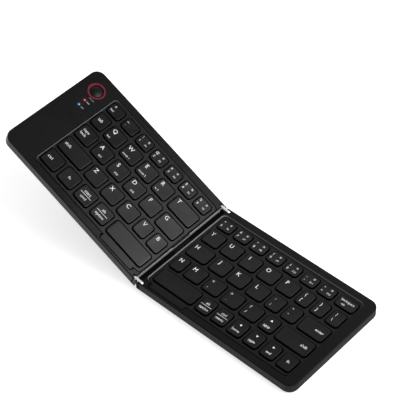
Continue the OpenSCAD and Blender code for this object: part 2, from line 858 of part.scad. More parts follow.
module ribbon_cable() {
    color("#6b3a16") on_link()
        translate([-spine_w / 2, ribbon_y - ribbon_w / 2, spine_top - groove_d])
            cube([spine_w, ribbon_w, groove_d - 0.05]);
}

// ---- Feet, magnets and screws ----

module feet() {
    foot_round = 0.4;
    for (x = [foot_in_x, foot_out_x]) translate([x, foot_y, 0]) {
        cylinder(h = foot_h, d1 = foot_d - foot_round, d2 = foot_d);
        translate([0, 0, foot_h]) cylinder(h = foot_sink, d = foot_d);
    }
    translate([block_len + 1, strip_y - strip_w / 2, 0])
        cube([foot_out_x - block_len - 1, strip_w, pocket_z]);
}

module right_feet() {
    color(RUBBER) on_base() feet();
}

module left_feet() {
    color(RUBBER) on_left() mirrored() feet();
}

module magnets() {
    for (side = [-1, 1])
        translate([half_len - wall_t - magnet_d / 2 - 0.8, side * magnet_y, deck_z - magnet_t])
            cylinder(h = magnet_t, d = magnet_d);
}

module right_magnets() {
    color(STEEL) on_base() magnets();
}

module left_magnets() {
    color(STEEL) on_left() mirrored() magnets();
}

module screws(well_x) {
    at_screws(well_x) translate([0, 0, pocket_z + 0.05]) difference() {
        union() {
            cylinder(h = screw_head_t, r = screw_head_r);
            cylinder(h = screw_head_t + screw_len, r = screw_r);
        }
        for (turn = [0, 90]) rotate([0, 0, turn]) cube([1.6, 0.35, 0.5], center = true);
    }
}

module right_screws() {
    color(STEEL) on_base() screws(right_well_x);
}

module left_screws() {
    color(STEEL) on_left() mirrored() screws(left_well_x);
}

// ---- The parts ----

right_case();
right_bottom_cover();
right_key_deck();
right_key_plate();
right_membrane();
battery();
right_feet();
right_magnets();
right_screws();
left_case();
left_bottom_cover();
left_key_deck();
left_key_plate();
left_membrane();
control_board();
charging_socket();
ribbon_cable();
red_light();
blue_light();
power_ring();
power_button();
power_switch();
left_feet();
left_magnets();
left_screws();
front_link();
rear_link();
hinge_spine();
right_hinge_pins();
left_hinge_pins();
for (group = KEY_GROUPS) keycaps(group);
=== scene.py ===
import bpy
import numpy as np
from mathutils import Matrix, Vector


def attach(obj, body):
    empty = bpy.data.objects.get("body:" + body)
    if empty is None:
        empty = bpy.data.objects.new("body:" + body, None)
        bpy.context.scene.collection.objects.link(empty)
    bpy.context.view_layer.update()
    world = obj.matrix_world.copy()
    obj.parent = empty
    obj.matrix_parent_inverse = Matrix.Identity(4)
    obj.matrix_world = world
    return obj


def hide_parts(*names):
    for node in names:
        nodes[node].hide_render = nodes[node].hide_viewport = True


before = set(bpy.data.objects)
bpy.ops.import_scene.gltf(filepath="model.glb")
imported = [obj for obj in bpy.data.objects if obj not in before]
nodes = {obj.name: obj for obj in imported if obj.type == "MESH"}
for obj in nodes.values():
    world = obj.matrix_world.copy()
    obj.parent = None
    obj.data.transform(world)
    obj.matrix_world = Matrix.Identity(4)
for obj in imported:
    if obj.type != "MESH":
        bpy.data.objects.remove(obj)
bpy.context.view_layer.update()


# ---------------------------------------------------------------------------
# The two halves and the fold between them. Each half is laid out flat in
# millimetres from the fold line, and the left one is then raised about the
# two rows of hinge pins, by half the fold angle at each.
# ---------------------------------------------------------------------------
HALF_LENGTH, TABLE_TO_RIM = 146.0, 8.5
PIN_X, PIN_Z = 3.1, 5.5
FOLD = np.radians(26.4)
END_ROUND, END_ROUND_Z = 1.0, 1.5


def swing(points, x, z, angle):
    """Points turned about a line along Y through (x, z), so that the left side rises."""
    p = np.array(points, float).reshape(-1, 3)
    dx, dz = p[:, 0] - x, p[:, 2] - z
    c, s = np.cos(angle), np.sin(angle)
    return np.column_stack([x + dx * c + dz * s, p[:, 1], z - dx * s + dz * c])


def raised(points):
    """Flat left-half points turned by half the fold about each row of pins, in millimetres."""
    return swing(swing(points, -PIN_X, PIN_Z, FOLD / 2), PIN_X, PIN_Z, FOLD / 2)


# The frame's middle is halfway between the right end and the raised end. The raised end's
# lower edge is rounded, and reaches END_ROUND beyond the middle line of that rounding.
raised_end = raised([END_ROUND - HALF_LENGTH, 0, END_ROUND_Z])[0, 0] - END_ROUND
CENTRE_X = (HALF_LENGTH + raised_end) / 2


def on_right(points):
    """Flat right-half millimetres to the frame's metres: a shift only."""
    return (np.array(points, float).reshape(-1, 3) - [CENTRE_X, 0, 0]) / 1000


def on_left(points):
    """Flat left-half millimetres to the frame's metres: raised, then shifted."""
    return on_right(raised(points))


HALF = {"left": on_left, "right": on_right}


# ---------------------------------------------------------------------------
# The studio: a camera with a long lens, a flat white floor that keeps the
# keyboard's soft shadow, and large soft lamps above and behind.
# ---------------------------------------------------------------------------
LENS_PX, FRAME_PX, SENSOR = 1502.4, 402, 36
AZIMUTH, ELEVATION, ROLL = np.radians([44.224, 45.996, -2.275])
AIM = on_right([-24.965, 46.336, 0.0])[0]
DISTANCE = 1.14548
LIGHTING_GREY = 0.55
SEEN_GREYS = ((0.0, 1.0), (0.4, 0.3), (0.85, 0.1))
FLOOR_REACH, FLOOR_GREY, FLOOR_GLOW = 3.0, 0.8, 0.585

back = np.array([np.sin(AZIMUTH) * np.cos(ELEVATION), -np.cos(AZIMUTH) * np.cos(ELEVATION),
                 np.sin(ELEVATION)])
side = np.cross(-back, [0, 0, 1])
side /= np.linalg.norm(side)
rise = np.cross(side, -back)
across = side * np.cos(ROLL) + rise * np.sin(ROLL)
upward = rise * np.cos(ROLL) - side * np.sin(ROLL)
lens = bpy.data.cameras.new("studio_camera")
lens.sensor_width = SENSOR
lens.lens = LENS_PX / FRAME_PX * SENSOR
lens.clip_start, lens.clip_end = 0.05, 50
camera = bpy.data.objects.new("studio_camera", lens)
camera.matrix_world = Matrix(np.column_stack([across, upward, back]).tolist()).to_4x4()
camera.location = AIM + back * DISTANCE
bpy.context.collection.objects.link(camera)
bpy.context.scene.camera = camera
bpy.context.scene.view_settings.view_transform = "Standard"


def maths(tree, operation, a, b=None, clamp=False):
    """One Math node; a and b are sockets or numbers. Its output socket is returned."""
    node = tree.nodes.new("ShaderNodeMath")
    node.operation, node.use_clamp = operation, clamp
    for slot, value in zip(node.inputs, (a, b)):
        if isinstance(value, bpy.types.NodeSocket):
            tree.links.new(value, slot)
        elif value is not None:
            slot.default_value = value
    return node.outputs[0]


def seen_directly(tree):
    """1 where a ray comes from the camera, a mirror or a clear body, and 0 for lighting rays."""
    path = tree.nodes.new("ShaderNodeLightPath")
    seen = path.outputs["Is Camera Ray"]
    for ray in ("Is Glossy Ray", "Is Transmission Ray"):
        seen = maths(tree, "ADD", seen, path.outputs[ray], clamp=True)
    return seen


# The surroundings light the object evenly, and are seen white at the horizon and grey above:
# SEEN_GREYS gives the grey at each height of the direction looked in.
world = bpy.data.worlds.new("studio_world")
bpy.context.scene.world = world
world.use_nodes = True
tree = world.node_tree
direction = tree.nodes.new("ShaderNodeTexCoord")
axes = tree.nodes.new("ShaderNodeSeparateXYZ")
tree.links.new(direction.outputs["Generated"], axes.inputs["Vector"])
height = tree.nodes.new("ShaderNodeValToRGB")
stops = height.color_ramp.elements
stops.new(SEEN_GREYS[1][0])
for stop, (level, grey) in zip(stops, SEEN_GREYS):
    stop.position = level
    stop.color = (grey, grey, grey, 1)
tree.links.new(axes.outputs["Z"], height.inputs["Fac"])
mix = tree.nodes.new("ShaderNodeMix")
mix.data_type = "RGBA"
mix.inputs["A"].default_value = (LIGHTING_GREY, LIGHTING_GREY, LIGHTING_GREY, 1)
tree.links.new(seen_directly(tree), mix.inputs["Factor"])
tree.links.new(height.outputs["Color"], mix.inputs["B"])
tree.links.new(mix.outputs["Result"], tree.nodes["Background"].inputs["Color"])

floor_mesh = bpy.data.meshes.new("floor")
corners = np.array([[-1, -1, 0], [1, -1, 0], [1, 1, 0], [-1, 1, 0]]) * FLOOR_REACH
floor_mesh.from_pydata(corners.tolist(), [], [(0, 1, 2, 3)])
floor = bpy.data.objects.new("floor", floor_mesh)
bpy.context.collection.objects.link(floor)
floor_paint = bpy.data.materials.new("floor_paper")
floor_paint.use_nodes = True
tree = floor_paint.node_tree
tree.nodes.clear()
out = tree.nodes.new("ShaderNodeOutputMaterial")
paper = tree.nodes.new("ShaderNodeBsdfDiffuse")
paper.inputs["Color"].default_value = (FLOOR_GREY, FLOOR_GREY, FLOOR_GREY, 1)
glow = tree.nodes.new("ShaderNodeEmission")
glow.inputs["Color"].default_value = (1, 1, 1, 1)
tree.links.new(maths(tree, "MULTIPLY", seen_directly(tree), FLOOR_GLOW), glow.inputs["Strength"])
both = tree.nodes.new("ShaderNodeAddShader")
tree.links.new(paper.outputs[0], both.inputs[0])
tree.links.new(glow.outputs[0], both.inputs[1])
tree.links.new(both.outputs[0], out.inputs["Surface"])
floor_mesh.materials.append(floor_paint)


def soft_lamp(name, place, aim, size, watts):
    """A rectangular lamp at place that faces aim; size is (width, height) in metres."""
    data = bpy.data.lights.new(name, "AREA")
    data.shape, data.size, data.size_y = "RECTANGLE", size[0], size[1]
    data.energy = watts
    lamp = bpy.data.objects.new(name, data)
    lamp.location = place
    lamp.rotation_euler = (Vector(aim) - Vector(place)).to_track_quat("-Z", "Y").to_euler()
    bpy.context.collection.objects.link(lamp)


soft_lamp("rear_right_lamp", place=(0.48, 0.28, 0.62), aim=(0.18, 0.06, 0), size=(0.52, 0.48),
          watts=4.5)
soft_lamp("rear_left_lamp", place=(-0.54, 0.88, 0.80), aim=(-0.04, 0, 0), size=(0.6, 0.7),
          watts=1.45)
soft_lamp("side_strip_lamp", place=(1.0, 0.58, 0.36), aim=(0, 0, 0.03), size=(0.2, 0.7),
          watts=2.8)


# ---------------------------------------------------------------------------
# The upper cases: moulded plastic shells under a fine satin paint. Each is
# screwed to its bottom cover and carries the rim, side walls and hinge ears.
# ---------------------------------------------------------------------------
CASE_COLOUR = (0.0068, 0.0068, 0.007)
# The halves share one paint; the left gets more gloss and looks lighter, the right less and looks
# darker: painted light and shade.
CASE_GLOSS = {"left": 0.17, "right": 0.08}
PATCH_SCALE, ROUGHNESS_PATCH, GRAIN_DEPTH = 35, 0.05, 0.3
WELL_X = {"left": (-118.5, -3.9), "right": (3.9, 137.0)}
WELL_Y, WELL_CORNER = 42.6, 3.5
RELIEF_MIDDLE, RELIEF_LENGTH, RELIEF_Y, RELIEF_CORNER = 26.55, 33.5, 46.4, 1.8

# In the paint, a line is (its middle, its reach to either side) and a fade is (where it
# starts, where it is full), in millimetres on the flat half. EDGE_LINE and SEAM_LINE are
# measured inwards from an outline, the other lines along x, and a HEIGHT is a fade along z.
# The light grey is a painted highlight: it stands for the lamps' reflection on the rounded edges,
# and is no worn finish. The black is painted shade.
EDGE_HIGHLIGHT_GREY, BLACK = (0.18, 0.18, 0.185, 1), (0, 0, 0, 1)
LINE_FADE = 0.12
EDGE_LINE = {"left": (0.62, 0.28), "right": (0.2, 0.34)}
EDGE_START, EDGE_FULL = 7, 2
EDGE_HEIGHT = (TABLE_TO_RIM - 1.4, TABLE_TO_RIM - 1.2)
REAR_SHARE = {"left": 0.3, "right": 0.5}
FOLD_WALL_LINE, FOLD_WALL_SHARE = (-2.7, 0.32), 2.6
FOLD_WALL_HEIGHT = (TABLE_TO_RIM - 0.6, TABLE_TO_RIM - 0.3)
DULL_STRIP = {"left": (-3.6, 0.62), "right": (2.4, 1.2)}
END_WALL, END_WALL_DULL = (145.0, 145.6), 0.4
SEAM_LINE = (-0.2, 0.5)
SEAM_REACH = (2 - WELL_Y, 1 - WELL_Y)
RELIEF_REACH = (0.3 - WELL_Y, -0.3 - WELL_Y)


def node_paint(name):
    """A new node material, with its tree and its one shader."""
    paint = bpy.data.materials.new(name)
    paint.use_nodes = True
    return paint, paint.node_tree, paint.node_tree.nodes["Principled BSDF"]


def ramp(tree, value, start, end, first=0.0, last=1.0):
    """first at start and before it, last at end and beyond it, and even between them."""
    node = tree.nodes.new("ShaderNodeMapRange")
    limits = {"From Min": start, "From Max": end, "To Min": first, "To Max": last}
    for name, number in limits.items():
        node.inputs[name].default_value = number
    tree.links.new(value, node.inputs["Value"])
    return node.outputs["Result"]


def noise(tree, vector, scale, detail):
    """A noise of the given scale, read at a vector socket."""
    node = tree.nodes.new("ShaderNodeTexNoise")
    node.inputs["Scale"].default_value = scale
    node.inputs["Detail"].default_value = detail
    tree.links.new(vector, node.inputs["Vector"])
    return node.outputs["Fac"]


def scaled(tree, colour, factor):
    """A colour times a factor socket."""
    node = tree.nodes.new("ShaderNodeVectorMath")
    node.operation = "SCALE"
    node.inputs[0].default_value = colour
    tree.links.new(factor, node.inputs["Scale"])
    return node.outputs["Vector"]


def roughen(tree, height, strength, distance):
    """Bump on a paint, from a height socket."""
    relief = tree.nodes.new("ShaderNodeBump")
    relief.inputs["Strength"].default_value = strength
    relief.inputs["Distance"].default_value = distance
    tree.links.new(height, relief.inputs["Height"])
    tree.links.new(relief.outputs["Normal"], tree.nodes["Principled BSDF"].inputs["Normal"])


def moulded(name, colour, roughness, gloss, grain, bump, patch=0.12):
    """Moulded or painted plastic on Object coordinates.

    A fine noise of the given grain (metres) gives the bump, and a slow noise moves the
    colour and the roughness a little, as handling and moulding do."""
    paint, tree, shader = node_paint(name)
    shader.inputs["Specular IOR Level"].default_value = gloss
    where = tree.nodes.new("ShaderNodeTexCoord")
    fine = noise(tree, where.outputs["Object"], 1 / grain, detail=2)
    slow = noise(tree, where.outputs["Object"], PATCH_SCALE, detail=3)
    tint = ramp(tree, slow, 0, 1, 1 - patch, 1 + patch)
    tree.links.new(scaled(tree, colour, tint), shader.inputs["Base Color"])
    wear = ramp(tree, slow, 0, 1, roughness - ROUGHNESS_PATCH, roughness + ROUGHNESS_PATCH)
    tree.links.new(wear, shader.inputs["Roughness"])
    roughen(tree, fine, bump, grain * GRAIN_DEPTH)
    return paint


def laid_flat(tree, half):
    """X, Y and Z sockets in millimetres of the flat half: a Mapping node undoes the fold."""
    origin, *ends = HALF[half]([[0, 0, 0], [1000, 0, 0], [0, 1000, 0], [0, 0, 1000]])
    turn = Matrix([(end - origin).tolist() for end in ends])
    where = tree.nodes.new("ShaderNodeTexCoord")
    lay = tree.nodes.new("ShaderNodeMapping")
    lay.inputs["Rotation"].default_value = turn.to_euler()
    lay.inputs["Location"].default_value = turn @ Vector((-origin).tolist()) * 1000
    lay.inputs["Scale"].default_value = (1000, 1000, 1000)
    axes = tree.nodes.new("ShaderNodeSeparateXYZ")
    tree.links.new(where.outputs["Object"], lay.inputs["Vector"])
    tree.links.new(lay.outputs["Vector"], axes.inputs["Vector"])
    return axes.outputs


def inside_outline(tree, x, y, centre, half_size, radius):
    """How far a point lies inside a rounded rectangle, in millimetres.

    The distance to it is that of the corner circle where both x and y pass the circle's middle,
    and that of the nearer straight side elsewhere."""
    qx, qy = (maths(tree, "SUBTRACT", maths(tree, "ABSOLUTE", maths(tree, "SUBTRACT", place, mid)),
                    reach - radius) for place, mid, reach in zip((x, y), centre, half_size))
    ox, oy = maths(tree, "MAXIMUM", qx, 0.0), maths(tree, "MAXIMUM", qy, 0.0)
    corner = maths(tree, "SQRT", maths(tree, "ADD", maths(tree, "MULTIPLY", ox, ox),
                                       maths(tree, "MULTIPLY", oy, oy)))
    inner = maths(tree, "MINIMUM", maths(tree, "MAXIMUM", qx, qy), 0.0)
    return maths(tree, "SUBTRACT", radius, maths(tree, "ADD", corner, inner))


def well_depth(tree, x, y, half):
    """How far a point lies inside the outline of a half's key well, in millimetres."""
    near, far = WELL_X[half]
    return inside_outline(tree, x, y, ((near + far) / 2, 0), ((far - near) / 2, WELL_Y),
                          WELL_CORNER)


def line_mask(tree, value, middle, reach):
    """1 where value is within reach of middle, fading over the last LINE_FADE."""
    off = maths(tree, "ABSOLUTE", maths(tree, "SUBTRACT", value, middle))
    return ramp(tree, off, reach, reach - LINE_FADE)


def laid_over(paint, name, mask, value):
    """Takes one input of a paint towards value by a mask, and past it where the mask is over 1."""
    tree = paint.node_tree
    slot = tree.nodes["Principled BSDF"].inputs[name]
    before = slot.links[0].from_socket
    mix = tree.nodes.new("ShaderNodeMix")
    mix.data_type = "RGBA" if slot.type == "RGBA" else "FLOAT"
    mix.clamp_factor = False
    mix.inputs["B"].default_value = value
    tree.links.new(mask, mix.inputs["Factor"])
    tree.links.new(before, mix.inputs["A"])
    tree.links.new(mix.outputs["Result"], slot)


def paint_shade_black(paint, mask):
    """Paints shade: turns a paint to a black that mirrors almost nothing where mask is 1."""
    laid_over(paint, "Base Color", mask, BLACK)
    tree = paint.node_tree
    tree.links.new(mask, tree.nodes["Principled BSDF"].inputs["Metallic"])


def painted_highlights_and_dull_places(paint, half):
    """Adds to a painted case a painted highlight on its edges, a light grey standing for the lamps'
    reflection, and its duller places.

    The painted highlight runs round the -x end of the well's edge, more faintly along its rear,
    and on the left half down the rounded wall beside the fold. A dull strip lies along the fold,
    and the right end wall is duller than the top."""
    tree = paint.node_tree
    x, y, z = laid_flat(tree, half)
    edge = line_mask(tree, well_depth(tree, x, y, half), *EDGE_LINE[half])
    near, _ = WELL_X[half]
    end = ramp(tree, x, near + EDGE_START, near + EDGE_FULL)
    rear = ramp(tree, y, WELL_Y - EDGE_START, WELL_Y - EDGE_FULL)
    share = maths(tree, "MAXIMUM", end, maths(tree, "MULTIPLY", rear, REAR_SHARE[half]))
    grey = maths(tree, "MULTIPLY", maths(tree, "MULTIPLY", edge, share),
                 ramp(tree, z, *EDGE_HEIGHT))
    if half == "left":
        wall = maths(tree, "MULTIPLY", line_mask(tree, x, *FOLD_WALL_LINE),
                     ramp(tree, z, *FOLD_WALL_HEIGHT))
        grey = maths(tree, "MAXIMUM", grey, maths(tree, "MULTIPLY", wall, FOLD_WALL_SHARE))
    # Painted highlight: this grey on the edges stands for the lamps' reflection.
    laid_over(paint, "Base Color", grey, EDGE_HIGHLIGHT_GREY)
    end_wall = maths(tree, "MULTIPLY", ramp(tree, x, *END_WALL), END_WALL_DULL)
    dull = maths(tree, "MAXIMUM", line_mask(tree, x, *DULL_STRIP[half]), end_wall)
    laid_over(paint, "Roughness", dull, 1.0)


def painted_seam_shadow(paint, half):
    """Adds painted shade to a case: a black line that stands for the shadow in the joint, along the
    well's front edge and round the thumb relief."""
    tree = paint.node_tree
    x, y, _ = laid_flat(tree, half)
    front = maths(tree, "MULTIPLY", line_mask(tree, well_depth(tree, x, y, half), *SEAM_LINE),
                  ramp(tree, y, *SEAM_REACH))
    middle = RELIEF_MIDDLE if half == "right" else -RELIEF_MIDDLE
    relief = inside_outline(tree, x, y, (middle, -RELIEF_Y / 2),
                            (RELIEF_LENGTH / 2, RELIEF_Y / 2), RELIEF_CORNER)
    notch = maths(tree, "MULTIPLY", line_mask(tree, relief, *SEAM_LINE),
                  ramp(tree, y, *RELIEF_REACH))
    # Painted shade: black along the well's front seam and round the relief.
    paint_shade_black(paint, maths(tree, "MAXIMUM", front, notch))


def finish(names, paint):
    """Gives CAD nodes one material in place of the imported one."""
    for name in names:
        mesh = nodes[name].data
        mesh.materials.clear()
        mesh.materials.append(paint)


for half in HALF:
    case_paint = moulded(half + "_case_satin_paint", CASE_COLOUR, roughness=0.28,
                         gloss=CASE_GLOSS[half], grain=0.00018, bump=0.2)
    # Painted highlights along the rim's edges, and its duller places.
    painted_highlights_and_dull_places(case_paint, half)
    # Painted shade: a black line along the well's front seam and round the thumb relief.
    painted_seam_shadow(case_paint, half)
    finish([half + "_case"], case_paint)


# ---------------------------------------------------------------------------
# The bottom covers: shallow satin-black trays that close each half from below.
# Their lips press into the cases, and three hidden screws hold the rear edge.
# ---------------------------------------------------------------------------
cover_paint = moulded("cover_satin_black", (0.0045, 0.0045, 0.0048), roughness=0.34, gloss=0.28,
                      grain=0.00022, bump=0.2)
finish(["right_bottom_cover", "left_bottom_cover"], cover_paint)


# ---------------------------------------------------------------------------
# The key decks: moulded lattices between the keycaps, clamped under the rims.
# They are left as moulded, with a finely sparked surface.
# ---------------------------------------------------------------------------
# One paint on both halves; the left gets more gloss and looks lighter: painted light and shade.
DECK_GLOSS = {"left": 0.3, "right": 0.23}
for half in HALF:
    deck_paint = moulded(half + "_deck_sparked_black", (0.004, 0.004, 0.0042), roughness=0.32,
                         gloss=DECK_GLOSS[half], grain=0.0002, bump=0.25)
    finish([half + "_key_deck"], deck_paint)


# ---------------------------------------------------------------------------
# The keycaps: thin hollow mouldings in satin black, with a soft bevel round a
# slightly dished face. Each stands on its dome in an opening of the deck.
# ---------------------------------------------------------------------------
KEY_START, CAP_SPACE = 5.4, 2.83
LEFT_PLACES, RIGHT_PLACES = 112.8, 131.3
LETTER, ROW, FRONT_ROW_Y = 17.85, 17.13, -39.5
CAP_LENGTH, NUMBER_LENGTH = 14.3, 10.9
CAP_HEIGHT, CAP_WALL = 2.2, 0.9
CAP_TOP = TABLE_TO_RIM - 0.45
CAP_RADIUS, LEAST_RADIUS = 2.4, 0.6
DISH, DISH_BORDER = 0.07, 0.55
BEVEL, SHOULDER, DRAFT = 0.18, 0.48, 0.04
FOOT_CHAMFER, INNER_CHAMFER, SHOULDER_START, SHOULDER_END = 0.12, 0.15, 0.4, 0.6
# One paint on both halves; the left gets more gloss and looks lighter: painted light and shade.
CAP_GLOSS = {"left": 0.3, "right": 0.26}
CAP_SHADE = (CAP_TOP - 0.1, CAP_TOP - 0.16)


def filled(total, widths):
    """The widths of one row's places, stretched together to fill the row, to 0.01 mm."""
    return [round(width * total / sum(widths), 2) for width in widths]


# The widths of each row's places, in millimetres, from the rear row to the front one.
rows = {
    "left": [filled(LEFT_PLACES, widths) for widths in (
        [LETTER] * 7,
        [14.4] + [LETTER] * 4 + [27],
        [18.3] + [LETTER] * 4 + [23.1],
        [29.5] + [LETTER] * 3 + [14.875] * 2,
        [18.5] + [LETTER] * 3 + [40.75])],
    "right": [filled(RIGHT_PLACES, widths) for widths in (
        [16] * 7 + [19.3],
        [18.2] + [LETTER] * 4 + [13.9] * 3,
        [22.4] + [LETTER] * 3 + [15.1] * 2 + [25.15],
        [13.7] + [LETTER] * 4 + [15.08, 31.12],
        [40.82] + [15.08] * 6)],
}

# The caps of each CAD node: its half, its row, its first place there and how many it has.
cap_nodes = {
    "esc_key": ("left", 0, 0, 1), "number_keys_1_to_5": ("left", 0, 1, 6),
    "tab_key": ("left", 1, 0, 1), "letter_keys_q_to_t": ("left", 1, 1, 5),
    "caps_lock_key": ("left", 2, 0, 1), "letter_keys_a_to_g": ("left", 2, 1, 5),
    "left_shift_key": ("left", 3, 0, 1), "letter_keys_z_to_b": ("left", 3, 1, 5),
    "left_ctrl_key": ("left", 4, 0, 1), "left_fn_key": ("left", 4, 1, 1),
    "start_key": ("left", 4, 2, 1), "left_alt_key": ("left", 4, 3, 1),
    "left_space_bar": ("left", 4, 4, 1),
    "number_keys_6_to_equals": ("right", 0, 0, 7), "backspace_key": ("right", 0, 7, 1),
    "letter_keys_y_to_p": ("right", 1, 0, 5), "bracket_keys": ("right", 1, 5, 3),
    "letter_keys_h_to_quote": ("right", 2, 0, 6), "enter_key": ("right", 2, 6, 1),
    "letter_keys_n_to_slash": ("right", 3, 0, 5), "up_key": ("right", 3, 5, 1),
    "right_shift_key": ("right", 3, 6, 1), "right_space_bar": ("right", 4, 0, 1),
    "right_alt_key": ("right", 4, 1, 1), "right_ctrl_key": ("right", 4, 2, 1),
    "left_arrow_key": ("right", 4, 3, 1), "down_key": ("right", 4, 4, 1),
    "right_arrow_key": ("right", 4, 5, 1), "right_fn_key": ("right", 4, 6, 1),
}


def cap_place(half, row, index):
    """(x0, x1, y0, y1) of one cap's foot, in flat millimetres from the fold line."""
    start = KEY_START if half == "right" else -KEY_START - LEFT_PLACES
    left = start + sum(rows[half][row][:index])
    right = left + rows[half][row][index]
    y0 = FRONT_ROW_Y + (4 - row) * ROW
    length = NUMBER_LENGTH if row == 0 else CAP_LENGTH
    return left + CAP_SPACE / 2, right - CAP_SPACE / 2, y0, y0 + length


def rounded_loop(a, b, radius, count=16):
    """A rounded rectangle of half sizes a and b: four corner arcs of count points each."""
    turn = np.linspace(0, np.pi / 2, count)
    corner = np.column_stack([np.cos(turn), np.sin(turn)]) * radius
    arcs = []
    for quarter in range(4):
        spin = quarter * np.pi / 2
        c, s = np.cos(spin), np.sin(spin)
        arc = corner @ np.array([[c, s], [-s, c]])
        sx, sy = [(1, 1), (-1, 1), (-1, -1), (1, -1)][quarter]
        arcs.append(arc + [sx * (a - radius), sy * (b - radius)])
    return np.vstack(arcs)


def face_dish(x, y, a, b):
    """How far a cap's face sinks at (x, y) from its middle: the dish times a parabola in x and
    one in y, which end a flat border inside the half sizes a and b."""
    u, v = x / (a - DISH_BORDER), y / (b - DISH_BORDER)
    return DISH * np.clip(1 - u ** 2, 0, 1) * np.clip(1 - v ** 2, 0, 1)


def cap_surface(x0, x1, y0, y1):
    """One cap as rings of points, from the middle of its ceiling inside, down and round its foot,
    in over a shoulder below the deck, up the wall, which has a slight draft, over the bevel's
    quarter circle and in to the middle of the dished face.

    A ring is a rounded rectangle inset by t at height z, or such a ring shrunk towards the
    middle."""
    a, b = (x1 - x0) / 2, (y1 - y0) / 2
    foot, ceiling = CAP_TOP - CAP_HEIGHT, CAP_TOP - CAP_WALL
    inset, height = np.array([
        (CAP_WALL, ceiling), (CAP_WALL, foot + INNER_CHAMFER), (CAP_WALL - FOOT_CHAMFER, foot),
        (FOOT_CHAMFER, foot), (0, foot + FOOT_CHAMFER), (0, foot + SHOULDER_START),
        (SHOULDER, foot + SHOULDER_END)]).T
    arc = np.linspace(0, np.pi / 2, 6)
    inset = np.append(inset, SHOULDER + DRAFT + BEVEL * (1 - np.cos(arc)))
    height = np.append(height, CAP_TOP - BEVEL * (1 - np.sin(arc)))
    loops = [rounded_loop(a - t, b - t, max(CAP_RADIUS - t, LEAST_RADIUS)) for t in inset]
    inside = [loops[0] * share for share in (0.0, 0.5)]
    face = [loops[-1] * share for share in (0.93, 0.75, 0.5, 0.25, 0.0)]
    plan = np.array(inside + loops + face)
    x, y = plan[..., 0], plan[..., 1]
    z = np.concatenate([[ceiling] * len(inside), height, [CAP_TOP] * len(face)])
    z = np.repeat(z[:, None], plan.shape[1], axis=1)
    z[-len(face):] -= face_dish(x, y, a, b)[-len(face):]
    return np.dstack([x + (x0 + x1) / 2, y + (y0 + y1) / 2, z])


def skin(rings):
    """Corners and four-sided faces of rings that close round; the first and last are single
    points, so their rings of triangles close the ends."""
    n, m = rings.shape[:2]
    points = np.vstack([rings[0, :1], rings[1:-1].reshape(-1, 3), rings[-1, :1]])
    index = 1 + np.arange((n - 2) * m).reshape(n - 2, m)
    after = np.roll(index, -1, axis=1)
    quads = np.stack([index[:-1], after[:-1], after[1:], index[1:]], -1).reshape(-1, 4)
    first = np.stack([np.zeros(m, int), after[0], index[0]], -1)
    last = np.stack([np.full(m, len(points) - 1), index[-1], after[-1]], -1)
    return points, quads.tolist() + first.tolist() + last.tolist()


def piece(name, parts, paint, body, smooth=True):
    """One object from several (points in metres, faces) lists, riding on a body."""
    corners, faces, base = [], [], 0
    for points, polygons in parts:
        corners.append(points)
        faces += [[i + base for i in polygon] for polygon in polygons]
        base += len(points)
    mesh = bpy.data.meshes.new(name)
    mesh.from_pydata(np.vstack(corners).tolist(), [], faces)
    mesh.polygons.foreach_set("use_smooth", np.full(len(mesh.polygons), smooth))
    mesh.materials.append(paint)
    mesh.update()
    made = bpy.data.objects.new(name, mesh)
    bpy.context.collection.objects.link(made)
    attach(made, body)
    return made


cap_paints = {}
for half in HALF:
    paint = moulded(half + "_keycap_satin_black", (0.0035, 0.0035, 0.0038), roughness=0.29,
                    gloss=CAP_GLOSS[half], grain=0.00016, bump=0.15)
    # Painted shade: the caps' walls below the bevel are turned black, standing for the shadow round
    # each cap.
    _, _, z = laid_flat(paint.node_tree, half)
    paint_shade_black(paint, ramp(paint.node_tree, z, *CAP_SHADE))
    cap_paints[half] = paint
for node, (half, row, first, count) in cap_nodes.items():
    parts = []
    for index in range(first, first + count):
        points, faces = skin(cap_surface(*cap_place(half, row, index)))
        parts.append((HALF[half](points), faces))
    caps = piece(node + "_caps", parts, cap_paints[half], node + "_body")
    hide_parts(node)


# ---------------------------------------------------------------------------
# The legends: off-white characters printed on the caps in a thin film of ink,
# large capitals near the rear left corner and small marks for second uses.
# ---------------------------------------------------------------------------
INK_THICKNESS = 0.012
BIG_HEIGHT = 3.3
THINNER = 0.005
RULE_WIDTH, ICON_WIDTH = 0.28, 0.3


def ink_paint(name, grey):
    """Matt printing ink with a little unevenness in its density."""
    return moulded(name, (grey, grey, grey), roughness=0.6, gloss=0.3, grain=0.0001, bump=0.1,
                   patch=0.06)


white_ink = ink_paint("legend_ink", 0.86)


def lettering(text, height):
    """A flat line of text as (points, faces), its capitals height high, its lower left corner
    at the origin; the film is thin along z. Strokes of the small sizes are printed thinner."""
    face = bpy.data.curves.new("line", "FONT")
    face.body = "H"
    face.size = 1
    face.resolution_u = 3
    line = bpy.data.objects.new("line", face)
    bpy.context.collection.objects.link(line)
    bpy.context.view_layer.update()
    capital = line.dimensions.y
    face.body = text
    face.size = height / capital
    face.extrude = INK_THICKNESS / 2
    face.offset = -THINNER * height if height < BIG_HEIGHT else 0
    bpy.context.view_layer.update()
    shaped = line.evaluated_get(bpy.context.evaluated_depsgraph_get())
    mesh = shaped.to_mesh()
    points = np.empty(len(mesh.vertices) * 3)
    mesh.vertices.foreach_get("co", points)
    faces = [list(p.vertices) for p in mesh.polygons]
    shaped.to_mesh_clear()
    bpy.data.objects.remove(line)
    bpy.data.curves.remove(face)
    points = points.reshape(-1, 3)
    points[:, 0] -= points[:, 0].min()
    return points, faces


